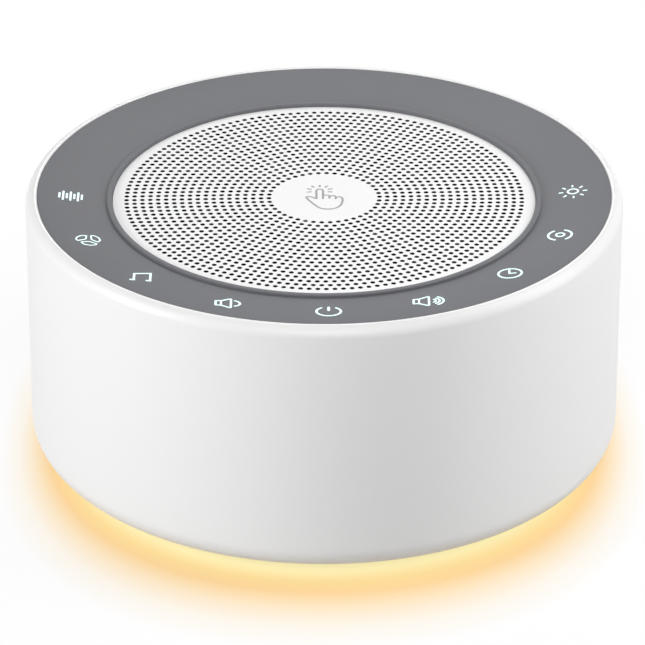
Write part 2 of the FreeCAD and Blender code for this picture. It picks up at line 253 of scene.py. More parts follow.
def deepened(shape, step):
    """Draws every face of a flat shape out by a step in mm, into a solid."""
    made = bmesh.ops.extrude_face_region(shape, geom=shape.faces[:], use_keep_orig=True)
    moved = [v for v in made["geom"] if isinstance(v, bmesh.types.BMVert)]
    bmesh.ops.translate(shape, vec=[s * MM for s in step], verts=moved)


def turned(shape, degrees):
    """Turns a shape round the machine's axis."""
    bmesh.ops.rotate(shape, cent=(0, 0, 0), verts=shape.verts[:],
                     matrix=Matrix.Rotation(math.radians(degrees), 3, "Z"))


def block(shape, size, place, turn, edge):
    """A block with softened edges, at a place, turned round the axis. Sizes are in mm."""
    brick = bmesh.new()
    bmesh.ops.create_cube(brick, size=1.0)
    bmesh.ops.scale(brick, vec=[s * MM for s in size], verts=brick.verts[:])
    bmesh.ops.translate(brick, vec=[p * MM for p in place], verts=brick.verts[:])
    turned(brick, turn)
    bmesh.ops.bevel(brick, geom=brick.edges[:], offset=edge * MM, segments=2,
                    profile=0.5, material=-1, affect="EDGES")
    bmesh.ops.recalc_face_normals(brick, faces=brick.faces[:])
    add_to(shape, brick)


def drawn_out(shape, points, rounds, front_y, back_y, turn=0.0):
    """A closed outline drawn out along Y into a solid bar, then turned round the axis."""
    brick = bmesh.new()
    outline(brick, points, rounds)
    bmesh.ops.translate(brick, vec=(0, front_y * MM, 0), verts=brick.verts[:])
    deepened(brick, (0.0, back_y - front_y, 0.0))
    turned(brick, turn)
    bmesh.ops.recalc_face_normals(brick, faces=brick.faces[:])
    add_to(shape, brick)


def slot_block(shape, width, height, corner, front_y, back_y, middle_z):
    """A block with round corners seen along Y, such as the pocket for the inlet."""
    left, low = -width / 2, middle_z - height / 2
    corners = [(left, low), (-left, low), (-left, low + height), (left, low + height)]
    drawn_out(shape, corners, [(corner, 8, (0, 1, 2, 3))], front_y, back_y)


def meshed(shape, mesh, smooth=30.0):
    """Puts a shape into a mesh that is smooth, with sharp edges over an angle in degrees."""
    shape.to_mesh(mesh)
    shape.free()
    mesh.shade_smooth()
    mesh.set_sharp_from_angle(angle=math.radians(smooth))


def finished(name, shape, look, body="housing", smooth=30.0):
    """The piece itself: its mesh, its material, and the body of the model that it rides on."""
    mesh = bpy.data.meshes.new(name)
    meshed(shape, mesh, smooth)
    mesh.materials.append(look)
    piece = bpy.data.objects.new(name, mesh)
    bpy.context.scene.collection.objects.link(piece)
    if body:
        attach(piece, body)
    return piece


def joined(piece, tool_shape, operation):
    """Adds or cuts a second shape, and keeps only the mesh that results."""
    tool = finished("tool", tool_shape, piece.data.materials[0], body=None)
    change = piece.modifiers.new("change", "BOOLEAN")
    change.operation = operation
    change.solver = "EXACT"
    change.object = tool
    bpy.context.view_layer.update()
    graph = bpy.context.evaluated_depsgraph_get()
    mesh = bpy.data.meshes.new_from_object(piece.evaluated_get(graph))
    piece.modifiers.clear()
    piece.data = mesh
    bpy.data.objects.remove(tool)


shell_steps = 240
body_radius = 55.0
inner_radius = 52.9
body_height = 52.5
shoulder_drop = 0.66
shoulder_round = 1.55
lip_height = body_height - shoulder_drop
lip_round = 0.2
lip_width = 0.5
lower_edge = 2.8
lower_round = 4.9
rim_radius = 50.0
floor_under = 5.0
floor_top = 7.0
floor_bore = 33.4
rib_top = 49.26
rib_count = 8
rib_depth = 2.3
rib_width = 1.6
shape = bmesh.new()
spun(shape, [(inner_radius, body_height - lip_round), (inner_radius + lip_round, body_height),
             (inner_radius + lip_width, body_height), (body_radius, lip_height),
             (body_radius, lower_edge), (rim_radius, lower_edge), (rim_radius, floor_under),
             (floor_bore, floor_under), (floor_bore, floor_top), (inner_radius, floor_top)],
     [(0.13, 4, (1, 2)), (shoulder_round, 10, (3,)), (lower_round, 14, (4,)),
      (0.08, 2, (5,))], shell_steps)
shell_look = moulded("white_satin_plastic", colour(240, 240, 240), colour(237, 237, 237),
                     0.42, 0.00022, 0.00004)
shader, place = parts_of(shell_look)
polished = ((place.from_axis() < (inner_radius + lip_width + 0.05) * MM)
            * (place.axis("Z") > (body_height - 0.25) * MM))
place.plug(shader.inputs["Coat Weight"], polished)
shader.inputs["Coat Roughness"].default_value = 0.1
shell = finished("white_shell", shape, shell_look)
port_middle = 12.8
port_width = 12.6
port_height = 6.8
port_corner = 2.4
sleeve_front = 50.9
sleeve_wall = 1.6
sleeve = bmesh.new()
slot_block(sleeve, port_width + 2 * sleeve_wall, port_height + 2 * sleeve_wall,
           port_corner + sleeve_wall, sleeve_front, 54.0, port_middle)
joined(shell, sleeve, "UNION")
pocket = bmesh.new()
slot_block(pocket, port_width, port_height, port_corner, 50.0, 56.0, port_middle)
joined(shell, pocket, "DIFFERENCE")
shape = bmesh.new()
shape.from_mesh(shell.data)
rib_place = (inner_radius - 1.05, 0.0, (rib_top + floor_top) / 2)
for rib in range(rib_count):
    block(shape, (rib_depth, rib_width, rib_top - floor_top), rib_place,
          (rib + 0.5) * 360.0 / rib_count, 0.25)
meshed(shape, shell.data)
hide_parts("outer_shell")


# The touch panel is a ring of dark gray plastic that slopes down towards the grille and
# ends in a narrow raised bead. It snaps on the ribs and has a dry, evenly matt finish.
panel_radius = inner_radius - 0.04
panel_edge = body_height - 0.16
crease_radius = 40.1
crease_height = 50.76
bead_width = 1.05
bead_round = 0.2
panel_bore = crease_radius - bead_width
panel_under = rib_top
bead_top = crease_height + bead_width / 2
shape = bmesh.new()
spun(shape, [(panel_radius, panel_edge), (crease_radius, crease_height),
             (crease_radius, bead_top), (panel_bore, bead_top),
             (panel_bore, panel_under), (panel_radius, panel_under)],
     [(0.05, 2, (0,)), (bead_round, 4, (2, 3))], shell_steps)
panel_look = moulded("gray_matt_plastic", colour(107, 108, 112), colour(104, 105, 109),
                     0.55, 0.00018, 0.00003, 0.3)
panel = finished("touch_band", shape, panel_look, smooth=25.0)
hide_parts("touch_panel")


# The grille is a white disc with nineteen rings of small round holes. Every ring has six
# holes more than the one inside it, and the middle is left plain as the tapping place.
grille_radius = 39.0
grille_flat = 37.5
grille_top = 50.65
grille_under = 49.55
hole_pitch = 1.457
hole_diameter = 0.92
hole_corners = 12
hole_turn = 1.79
first_ring = 7
last_ring = 25
rim_steps = 180
rim_round = 0.14
shape = bmesh.new()
for ring in range(first_ring, last_ring + 1):
    seat = Matrix.Translation((ring * hole_pitch * MM, 0.0, 0.0))
    hole = bmesh.ops.create_circle(shape, segments=hole_corners, radius=hole_diameter / 2 * MM,
                                   matrix=seat)["verts"]
    sides = list({edge for vert in hole for edge in vert.link_edges})
    copies = 6 * ring - 1
    bmesh.ops.spin(shape, geom=hole + sides, cent=(0, 0, 0), axis=(0, 0, 1), steps=copies,
                   angle=math.tau * copies / (copies + 1), use_duplicate=True)
turned(shape, hole_turn)
bmesh.ops.create_circle(shape, segments=rim_steps, radius=grille_flat * MM)
bmesh.ops.triangle_fill(shape, edges=shape.edges[:], use_beauty=True)
bmesh.ops.translate(shape, vec=(0, 0, grille_top * MM), verts=shape.verts[:])
deepened(shape, (0.0, 0.0, grille_under - grille_top))
inside_rim = [f for f in shape.faces
              if all(v.co.xy.length > (grille_flat - 0.05) * MM for v in f.verts)
              and len({round(v.co.z, 6) for v in f.verts}) == 2]
bmesh.ops.delete(shape, geom=inside_rim, context="FACES_ONLY")
rim = bmesh.new()
outline(rim, [(grille_flat, grille_top), (grille_radius, grille_top),
              (grille_radius, grille_under), (grille_flat, grille_under)],
        [(rim_round, 4, (1,))])
inner = [e for e in rim.edges if max(v.co.x for v in e.verts) < (grille_flat + 0.01) * MM]
bmesh.ops.delete(rim, geom=rim.faces[:], context="FACES_ONLY")
bmesh.ops.delete(rim, geom=inner, context="EDGES")
bmesh.ops.spin(rim, geom=rim.verts[:] + rim.edges[:], cent=(0, 0, 0), axis=(0, 0, 1),
               angle=math.tau, steps=rim_steps, use_merge=True)
add_to(shape, rim)
bmesh.ops.remove_doubles(shape, verts=shape.verts[:], dist=2e-7)
bmesh.ops.recalc_face_normals(shape, faces=shape.faces[:])
grille_look, shader, place = new_look("grille_white_lacquer")
# Painted shade: the walls of the holes are painted near black from just under the top face down, for the
# shade inside them.
depth = ((grille_top - 0.002) * MM - place.axis("Z")) / (0.01 * MM)
painted_hole_shade = depth.clamped() * (place.from_axis() < (grille_flat - 0.1) * MM)
cloud = place.noise(60.0, 3.0)
paint = cloud.mixed(colour(250, 250, 250), colour(246, 246, 247))
place.plug(shader.inputs["Base Color"], painted_hole_shade.mixed(paint, colour(8, 8, 9)))
place.plug(shader.inputs["Roughness"], 0.42 + cloud * 0.06)
place.plug(shader.inputs["Normal"], place.noise(4000.0, 2.0).bump(0.15, 0.00003))
grille = finished("grille_disc", shape, grille_look)
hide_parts("speaker_grille")


# Under the grille lies a disc of thin black acoustic cloth, glued to the deck, which keeps
# dust off the loudspeaker and makes the holes read black.
cloth_radius = 37.2
cloth_top = 49.50
cloth_under = 49.32
shape = bmesh.new()
spun(shape, [(0.0, cloth_top), (cloth_radius, cloth_top), (cloth_radius, cloth_under),
             (0.0, cloth_under)], [], 96)
cloth_look, shader, place = new_look("black_acoustic_cloth")
weave = place.woven(9000.0)
place.plug(shader.inputs["Base Color"], weave.mixed(colour(8, 8, 9), colour(20, 20, 21)))
place.plug(shader.inputs["Roughness"], 0.9 - weave * 0.1)
place.plug(shader.inputs["Normal"], weave.bump(0.4, 0.00006))
cloth = finished("grille_cloth", shape, cloth_look)


# Nine symbols are let into the touch panel, where thin clear windows glow in a pale cool
# white, a painted glow in place of the light of the lamps below them: sound bars, fan, music,
# softer, power, louder, timer, surround, lamp.
icon_radius = 46.3
icon_shift = -0.4
icon_first = -178.0
icon_last = 0.9
icon_proud = 0.03
icon_sunk = 0.04
band_slope = math.atan2(panel_edge - crease_height, panel_radius - crease_radius)


def stroke(shape, start, end, width):
    """A straight stroke with rounded ends, between two points in mm."""
    run = Vector(end) - Vector(start)
    middle = (Vector(end) + Vector(start)) / 2
    place = (Matrix.Translation((middle.x * MM, middle.y * MM, 0.0))
             @ Matrix.Rotation(math.atan2(run.y, run.x), 4, "Z")
             @ Matrix.Diagonal(((run.length + width) * MM, width * MM, 1.0, 1.0)))
    corners = bmesh.ops.create_grid(shape, x_segments=1, y_segments=1, size=0.5,
                                    matrix=place)["verts"]
    bmesh.ops.bevel(shape, geom=corners, offset=width * 0.42 * MM, segments=4, profile=0.5,
                    material=-1, affect="VERTICES")


def sweep(shape, middle, radius, start, end, width):
    """An arc or a whole ring, from one angle to another in degrees."""
    whole = end - start >= 360.0
    turn = Matrix.Rotation(math.radians(start), 4, "Z")
    centre = Vector((middle[0], middle[1], 0.0)) * MM
    ends = [shape.verts.new(centre + turn @ Vector((radius + side * width / 2, 0, 0)) * MM)
            for side in (-1, 1)]
    edge = shape.edges.new(ends)
    steps = max(6, int((end - start) / 9))
    bmesh.ops.spin(shape, geom=ends + [edge], cent=centre, axis=(0, 0, 1), steps=steps,
                   angle=math.radians(end - start), use_merge=whole)
    if not whole:
        for angle in (start, end):
            tip_x = middle[0] + radius * math.cos(math.radians(angle))
            tip_y = middle[1] + radius * math.sin(math.radians(angle))
            cap = Matrix.Translation((tip_x * MM, tip_y * MM, 0.0))
            bmesh.ops.create_circle(shape, cap_ends=True, segments=12,
                                    radius=width / 2 * MM, matrix=cap)


def closed_line(shape, points, corner, width):
    """A closed outline with rounded corners, drawn as a line of one width."""
    corners = [shape.verts.new((x * MM, y * MM, 0.0)) for x, y in points]
    shape.faces.new(corners)
    made = bmesh.ops.bevel(shape, geom=corners, offset=corner * MM, segments=4, profile=0.5,
                           material=-1, affect="VERTICES")
    whole = max(made["faces"] or shape.faces[:], key=lambda f: len(f.verts))
    bmesh.ops.inset_region(shape, faces=[whole], thickness=width * MM, use_boundary=True,
                           use_even_offset=True)
    bmesh.ops.delete(shape, geom=[whole], context="FACES")


def sound_bars(shape):
    for number in range(7):
        tall = 1.65 if number % 2 else 0.85
        x = 0.69 * (number - 3)
        stroke(shape, (x, 0.3 - tall), (x, 0.3 + tall), 0.4)


def fan(shape):
    blade = [(0.0, -0.42), (1.7, -1.2), (1.5, -1.95), (0.4, -2.4), (-0.85, -2.15), (-1.5, -1.2)]
    for turn in (0.0, 120.0, 240.0):
        swing = Matrix.Rotation(math.radians(turn), 2)
        closed_line(shape, [tuple(swing @ Vector(point)) for point in blade], 0.3, 0.28)


def music(shape):
    for x, top in ((-1.7, 1.4), (1.2, 2.05)):
        stroke(shape, (x, -1.4), (x, top), 0.42)
        stroke(shape, (x - 0.55, -1.4), (x, -1.4), 0.5)
    stroke(shape, (-1.7, 1.4), (1.2, 2.05), 0.42)


def loudspeaker(shape, left):
    closed_line(shape, [(left, -1.65), (left + 1.1, -1.65), (left + 2.5, -2.65),
                        (left + 3.1, -2.65), (left + 3.1, 1.85), (left + 2.5, 1.85),
                        (left + 1.1, 0.85), (left, 0.85)], 0.25, 0.4)
    stroke(shape, (left + 1.15, -1.3), (left + 1.15, 0.5), 0.34)


def softer(shape):
    loudspeaker(shape, -2.4)
    sweep(shape, (0.75, -0.4), 1.35, -72.0, 72.0, 0.38)


def power(shape):
    sweep(shape, (0.0, -0.4), 2.15, 127.0, 413.0, 0.42)
    stroke(shape, (0.0, 0.1), (0.0, 1.6), 0.48)


def louder(shape):
    loudspeaker(shape, -2.75)
    for radius in (0.75, 1.45, 2.15):
        sweep(shape, (0.6, -0.4), radius, -58.0, 58.0, 0.4)


def timer(shape):
    sweep(shape, (0.1, 0.0), 2.1, 0.0, 360.0, 0.4)
    stroke(shape, (0.0, 0.0), (0.0, 1.5), 0.4)
    stroke(shape, (0.0, 0.0), (1.1, 0.0), 0.36)


def surround(shape):
    sweep(shape, (0.05, 0.1), 0.76, 0.0, 360.0, 0.38)
    sweep(shape, (0.0, 0.0), 2.15, 118.0, 242.0, 0.42)
    sweep(shape, (0.0, 0.0), 2.15, -62.0, 62.0, 0.42)


def lamp(shape):
    sweep(shape, (0.0, 0.1), 0.96, 0.0, 360.0, 0.36)
    for ray in range(8):
        out = Vector((math.cos(ray * math.tau / 8), math.sin(ray * math.tau / 8)))
        stroke(shape, out * 1.95, out * 2.5, 0.34)


# Painted glow: the windows' emission stands in for the light of the lamps below them, in speckled tints.
icon_look, shader, place = new_look("cool_painted_glow_window")
glow_speckle = place.noise(700.0, 2.0)
place.plug(shader.inputs["Base Color"],
           glow_speckle.mixed(colour(150, 170, 172), colour(170, 190, 190)))
place.plug(shader.inputs["Emission Color"],
           glow_speckle.mixed(colour(218, 250, 252), colour(232, 255, 255)))
place.plug(shader.inputs["Roughness"], 0.3 + glow_speckle * 0.1)
shader.inputs["Emission Strength"].default_value = 0.8
icons = (sound_bars, fan, music, softer, power, louder, timer, surround, lamp)
for number, draw in enumerate(icons):
    angle = icon_first + (icon_last - icon_first) * number / (len(icons) - 1)
    out = Vector((math.cos(math.radians(angle)), math.sin(math.radians(angle)), 0.0))
    tangent = Vector((-out.y, out.x, 0.0))
    spot = out * icon_radius + Vector((icon_shift, 0.0, 0.0))
    spot.z = crease_height + (spot.length - crease_radius) * math.tan(band_slope)
    shape = bmesh.new()
    draw(shape)
    bmesh.ops.recalc_face_normals(shape, faces=shape.faces[:])
    for face in shape.faces:
        if face.normal.z < 0:
            face.normal_flip()
    bmesh.ops.solidify(shape, geom=shape.faces[:], thickness=(icon_proud + icon_sunk) * MM)
    low = min(v.co.z for v in shape.verts)
    bmesh.ops.translate(shape, vec=(0, 0, -low - icon_sunk * MM), verts=shape.verts[:])
    seat = Matrix.Translation(spot * MM) @ Matrix.Rotation(-band_slope, 4, tangent)
    bmesh.ops.transform(shape, matrix=seat, verts=shape.verts[:])
    window = finished("window_" + draw.__name__, shape, icon_look)


# A hand with a raised finger is pad-printed in light gray on the plain middle of the
# grille, in one thin line. It says that a tap there wakes the machine.
hand_line = 0.2
hand_centre = (0.0, -0.62)
hand_height = 0.02


def drawn(name, strokes, width, look, place):
    """Smooth lines through points in mm, flattened into ink."""
    lines = bpy.data.curves.new(name, "CURVE")
    lines.dimensions = "3D"
    lines.bevel_depth = width * MM
    lines.bevel_resolution = 2
    lines.resolution_u = 4
    lines.use_fill_caps = True
    for points in strokes:
        run = lines.splines.new("BEZIER")
        run.bezier_points.add(len(points) - 1)
        for knot, (x, y) in zip(run.bezier_points, points):
            knot.co = (x * MM, y * MM, 0.0)
            knot.handle_left_type = "AUTO"
            knot.handle_right_type = "AUTO"
    holder = bpy.data.objects.new(name, lines)
    bpy.context.scene.collection.objects.link(holder)
    bpy.context.view_layer.update()
    graph = bpy.context.evaluated_depsgraph_get()
    mesh = bpy.data.meshes.new_from_object(holder.evaluated_get(graph))
    bpy.data.objects.remove(holder)
    shape = bmesh.new()
    shape.from_mesh(mesh)
    bpy.data.meshes.remove(mesh)
    bmesh.ops.transform(shape, matrix=place, verts=shape.verts[:])
    return finished(name, shape, look)


finger = [(-1.42, 0.0), (-1.42, 1.8), (-1.40, 3.5), (-1.22, 3.95), (-0.83, 4.05),
          (-0.43, 3.95), (-0.25, 3.5), (-0.23, 1.8), (-0.23, 0.0)]
thumb_and_palm = [(-1.42, 0.05), (-2.2, 0.7), (-2.9, 0.95), (-3.3, 0.8), (-3.2, 0.35),
                  (-2.5, -1.1), (-1.6, -2.6), (-0.7, -3.75), (0.6, -4.15), (1.9, -3.85),
                  (2.85, -2.9), (3.3, -1.4), (3.36, 0.1), (3.1, 0.75), (2.55, 0.85),
                  (2.2, 0.6), (2.1, -0.1)]
knuckles = [[(2.2, 0.6), (1.9, 1.25), (1.4, 1.35), (1.05, 1.0), (0.95, 0.2)],
            [(1.0, 1.0), (0.8, 1.45), (0.2, 1.6), (-0.2, 1.5)]]
tap_rays = [[(-0.83, 4.95), (-0.83, 5.75)],
            [(-1.8, 4.75), (-2.35, 5.45)], [(0.1, 4.75), (0.65, 5.45)],
            [(-2.3, 3.95), (-3.15, 4.2)], [(0.65, 3.95), (1.5, 4.2)],
            [(-2.35, 3.0), (-3.2, 2.8)], [(0.65, 3.05), (1.5, 2.9)]]
ink_look, shader, place = new_look("light_gray_print")
speck = place.noise(2500.0, 2.0)
place.plug(shader.inputs["Base Color"],
           speck.mixed(colour(146, 146, 148), colour(164, 164, 166)))
place.plug(shader.inputs["Roughness"], 0.5 + speck * 0.1)
flat = (Matrix.Translation((hand_centre[0] * MM, hand_centre[1] * MM, grille_top * MM))
        @ Matrix.Diagonal((1.0, 1.0, hand_height / hand_line, 1.0)))
hand = drawn("tap_here_print", [finger, thumb_and_palm] + knuckles + tap_rays, hand_line,
             ink_look, flat)


# The loudspeaker's moving parts: a pressed paper cone with a dome over its coil, and the
# rubber roll and the corrugated cloth disc that it hangs in. Both of these are held fast
# outside, and the cone pulls them along inside.
rim_height = 45.15
neck_height = 34.15
cone_rim = 23.4
cone_neck = 11.2
shape = bmesh.new()
spun(shape, [(0.0, 37.1), (6.5, 36.2), (cone_neck, 34.8), (22.2, rim_height),
             (cone_rim, rim_height), (cone_rim, rim_height - 0.5), (cone_neck, neck_height),
             (9.0, neck_height), (0.0, neck_height + 0.3)],
     [(2.5, 5, (1,)), (0.5, 4, (2,))], 120)
cone_look, shader, place = new_look("pressed_paper")
fibre = place.noise(500.0, 6.0, 0.7, (1.0, 1.0, 0.3))
place.plug(shader.inputs["Base Color"], fibre.mixed(colour(32, 31, 30), colour(58, 56, 53)))
place.plug(shader.inputs["Roughness"], 0.75 + fibre * 0.2)
place.plug(shader.inputs["Normal"], fibre.bump(0.5, 0.0002))
cone = finished("paper_cone", shape, cone_look, body="cone")
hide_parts("speaker_cone")


def stretched(piece, fixed_radius, moving_radius, height):
    """Ties a ring to the housing outside and to the cone inside, by its radius."""
    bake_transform(piece, "housing", "cone", start=(fixed_radius * MM, 0.0, height * MM),
             end=(moving_radius * MM, 0.0, height * MM))
    shares = piece.data.attributes["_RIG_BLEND"]
    for vert in piece.data.vertices:
        share = (fixed_radius * MM - vert.co.xy.length) / ((fixed_radius - moving_radius) * MM)
        share = min(1.0, max(0.0, share))
        shares.data[vert.index].value = share * share * (3.0 - 2.0 * share)


roll_top = 45.75
shape = bmesh.new()
spun(shape, [(28.4, rim_height), (28.4, roll_top), (26.5, roll_top), (26.35, 47.2),
             (23.45, 47.2), (23.3, roll_top), (22.0, roll_top), (22.0, rim_height),
             (23.8, rim_height), (23.95, 46.6), (25.85, 46.6), (26.0, rim_height)],
     [(1.3, 7, (3, 4)), (0.85, 6, (9, 10))], 120)
rubber_look, shader, place = new_look("black_roll_rubber")
dust = place.noise(400.0, 4.0)
place.plug(shader.inputs["Base Color"], dust.mixed(colour(22, 22, 23), colour(40, 40, 41)))
place.plug(shader.inputs["Roughness"], 0.55 + dust * 0.2)
place.plug(shader.inputs["Normal"], dust.bump(0.2, 0.00008))
roll = finished("rubber_roll", shape, rubber_look, body=None)
stretched(roll, 26.4, 23.4, roll_top)
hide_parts("cone_surround")

shape = bmesh.new()
spun(shape, [(15.4, 33.15), (15.4, 33.65), (14.6, 33.65), (14.0, 33.85), (13.4, 33.45),
             (12.8, 33.85), (12.2, 33.45), (11.6, 33.65), (11.2, 33.65), (11.2, 33.15),
             (11.6, 33.15), (12.2, 33.0), (12.8, 33.4), (13.4, 33.0), (14.0, 33.4),
             (14.6, 33.15)], [(0.15, 2, (3, 4, 5, 6, 11, 12, 13, 14))], 96)
spider_look, shader, place = new_look("woven_centring_cloth")
weave = place.woven(12000.0)
place.plug(shader.inputs["Base Color"], weave.mixed(colour(176, 122, 62), colour(204, 156, 92)))
place.plug(shader.inputs["Roughness"], 0.8 + weave * 0.1)
place.plug(shader.inputs["Normal"], weave.bump(0.4, 0.00005))
spider = finished("centring_disc", shape, spider_look, body=None)
stretched(spider, 14.6, 11.6, 33.4)
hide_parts("cone_spider")


def dressed(node, look):
    """Gives a solid of the model its material."""
    cad[node].data.materials.clear()
    cad[node].data.materials.append(look)


coil_look, shader, place = new_look("wound_copper")
turns = place.axis("Z").waves(24000.0)
place.plug(shader.inputs["Base Color"], turns.mixed(colour(150, 78, 44), colour(214, 132, 84)))
place.plug(shader.inputs["Roughness"], 0.35 + turns * 0.05)
place.plug(shader.inputs["Normal"], turns.bump(0.5, 0.00005))
shader.inputs["Metallic"].default_value = 1.0
dressed("voice_coil", coil_look)


# The loudspeaker's frame and motor stay as they are in the model: a pressed steel basket
# with four windows, a turned yoke, and a nickel-plated magnet in its middle.
def metal(name, tint, shade, rough, stretch, node):
    """Bare or plated metal, with fine lines along the way that it was worked."""
    look, shader, place = new_look(name)
    lines = place.noise(300.0, 5.0, 0.6, stretch)
    stain = place.noise(40.0, 3.0)
    place.plug(shader.inputs["Base Color"], (lines * 0.6 + stain * 0.4).mixed(tint, shade))
    place.plug(shader.inputs["Roughness"], rough + lines * 0.12)
    place.plug(shader.inputs["Normal"], lines.bump(0.15, 0.00005))
    shader.inputs["Metallic"].default_value = 1.0
    dressed(node, look)


metal("pressed_steel", colour(150, 152, 156), colour(176, 178, 182), 0.36, (1, 1, 4),
      "speaker_frame")
metal("turned_steel", colour(130, 132, 136), colour(158, 160, 164), 0.32, (1, 1, 12),
      "speaker_yoke")
metal("nickel_plate", colour(186, 184, 178), colour(206, 204, 198), 0.22, (1, 1, 1),
      "speaker_magnet")


# The deck and the light wells are black mouldings under the panel. The deck clamps the
# loudspeaker and carries the grille, and the wells keep each symbol's light to itself.
black_look = moulded("black_inner_plastic", colour(30, 30, 32), colour(38, 38, 40),
                     0.5, 0.0003, 0.00008)
dressed("speaker_deck", black_look)
dressed("icon_light_wells", black_look)


# Three circuit boards: the green main board, and the touch board and the night light's
# ring in white. They are glass-fibre laminate with solder mask over copper tracks.
def laminate(name, mask, track, pad, node):
    """Solder mask over tracks, with tinned pads in rows."""
    look, shader, place = new_look(name)
    cells = place.node("ShaderNodeTexVoronoi", {"distance": "CHEBYCHEV"},
                       {"Vector": place, "Scale": 320.0, "Randomness": 0.35})
    lines = place.node("ShaderNodeTexBrick", {"offset": 0.37, "squash": 0.6},
                       {"Vector": place, "Scale": 130.0, "Mortar Size": 0.03, "Mortar Smooth": 0.2,
                        "Brick Width": 0.9, "Row Height": 0.21}, "Fac")
    dots = (0.24 - cells) * 12.0
    some = place.noise(90.0, 1.0) > 0.56
    tinned = dots.clamped() * some
    under = lines.mixed(mask, track)
    place.plug(shader.inputs["Base Color"], tinned.mixed(under, pad))
    place.plug(shader.inputs["Metallic"], tinned * 0.9)
    place.plug(shader.inputs["Roughness"], 0.4 - tinned * 0.1)
    place.plug(shader.inputs["Normal"], (lines + tinned).bump(0.3, 0.00005))
    dressed(node, look)


laminate("green_board", colour(22, 84, 52), colour(40, 118, 76), colour(200, 202, 204),
         "main_board")
laminate("white_touch_board", colour(232, 234, 232), colour(214, 217, 214),
         colour(214, 190, 120), "touch_board")
laminate("white_light_board", colour(236, 236, 230), colour(220, 220, 212),
         colour(210, 210, 206), "night_light_board")


# The parts on the boards: lamps in white ceramic cases, black chips, capacitors in bare
# aluminium cans with their scored tops, and cream nylon plug sockets.
def lit_case(name, case, glow, strength, node):
    """A small lamp: a pale case whose yellow or white middle shines upwards."""
    look, shader, place = new_look(name)
    spots = place.noise(800.0, 2.0)
    place.plug(shader.inputs["Base Color"], spots.mixed(case, glow))
    place.plug(shader.inputs["Emission Color"], spots.mixed(glow, case))
    place.plug(shader.inputs["Roughness"], 0.3 + spots * 0.2)
    shader.inputs["Emission Strength"].default_value = strength
    dressed(node, look)


lit_case("cool_lamp_case", colour(230, 240, 240), colour(226, 255, 255), 0.6, "icon_lamps")
lit_case("warm_lamp_case", colour(255, 236, 196), colour(255, 214, 150), 1.0, "night_light_lamps")

chip_look, shader, place = new_look("black_epoxy")
grit = place.noise(2200.0, 3.0)
place.plug(shader.inputs["Base Color"], grit.mixed(colour(20, 20, 21), colour(44, 44, 45)))
place.plug(shader.inputs["Roughness"], 0.55 + grit * 0.2)
place.plug(shader.inputs["Normal"], grit.bump(0.3, 0.00004))
dressed("board_chips", chip_look)

can_look, shader, place = new_look("aluminium_can")
can_shoulder = 18.1
top_mask = place.axis("Z") > can_shoulder * MM
scratch = place.noise(260.0, 4.0, 0.6, (1, 1, 8))
place.plug(shader.inputs["Base Color"], (scratch * 0.8 + top_mask * 0.2).mixed(
    colour(176, 178, 182), colour(214, 216, 218)))
place.plug(shader.inputs["Roughness"], 0.26 + scratch * 0.12)
place.plug(shader.inputs["Normal"], scratch.bump(0.1, 0.00004))
shader.inputs["Metallic"].default_value = 1.0
dressed("board_capacitors", can_look)

dressed("board_sockets", moulded("cream_nylon", colour(228, 220, 198), colour(216, 208, 186),
                                 0.4, 0.0004, 0.00006))


# The power inlet at the back: a folded steel can round a thin black tongue with gold
# contacts, and a white card behind the pocket that closes the gap round the can.
inlet_width = 9.0
inlet_height = 3.2
inlet_front = 43.5
inlet_back = sleeve_front
inlet_wall = 0.32
shape = bmesh.new()
ring = bmesh.new()
half = (inlet_width / 2, inlet_height / 2)
outline(ring, [(-half[0], port_middle - half[1]), (half[0], port_middle - half[1]),
               (half[0], port_middle + half[1]), (-half[0], port_middle + half[1])],
        [(1.25, 8, (0, 1, 2, 3))])
bmesh.ops.translate(ring, vec=(0, inlet_front * MM, 0), verts=ring.verts[:])
whole = ring.faces[:][0]
bmesh.ops.inset_region(ring, faces=[whole], thickness=inlet_wall * MM, use_boundary=True,
                       use_even_offset=True)
bmesh.ops.delete(ring, geom=[whole], context="FACES")
deepened(ring, (0.0, inlet_back - inlet_front, 0.0))
bmesh.ops.recalc_face_normals(ring, faces=ring.faces[:])
add_to(shape, ring)
slot_block(shape, 8.7, 2.9, 1.1, inlet_front + 0.05, inlet_front + 0.6, port_middle)
inlet_look, shader, place = new_look("folded_steel_can")
lines = place.noise(500.0, 4.0, 0.6, (6, 1, 6))
place.plug(shader.inputs["Base Color"], lines.mixed(colour(168, 170, 174), colour(206, 208, 210)))
place.plug(shader.inputs["Roughness"], 0.24 + lines * 0.12)
place.plug(shader.inputs["Normal"], lines.bump(0.1, 0.00003))
shader.inputs["Metallic"].default_value = 1.0
inlet = finished("inlet_can", shape, inlet_look)
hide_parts("power_inlet")

tongue_look, shader, place = new_look("contact_tongue")
between = place.axis("X").waves(6000.0) > 0.15
along = (place.axis("Y") > 47.2 * MM) * (place.axis("Y") < 49.6 * MM)
gold = between * along
place.plug(shader.inputs["Base Color"], gold.mixed(colour(24, 24, 25), colour(222, 176, 86)))
place.plug(shader.inputs["Metallic"], gold * 1.0)
place.plug(shader.inputs["Roughness"], 0.5 - gold * 0.2)
dressed("power_inlet_tongue", tongue_look)

card_front = 50.85
card_thick = 0.2
card_gap = 0.1
shape = bmesh.new()
slot_block(shape, port_width - 2 * card_gap, port_height - 2 * card_gap,
           port_corner - 2 * card_gap, card_front, card_front + card_thick, port_middle)
card_look = moulded("white_card", colour(214, 214, 212), colour(204, 204, 202),
                    0.6, 0.0002, 0.00004)
card = finished("inlet_card", shape, card_look)
opening = bmesh.new()
slot_block(opening, inlet_width + 0.1, inlet_height + 0.1, 1.3, 50.0, 52.0, port_middle)
joined(card, opening, "DIFFERENCE")
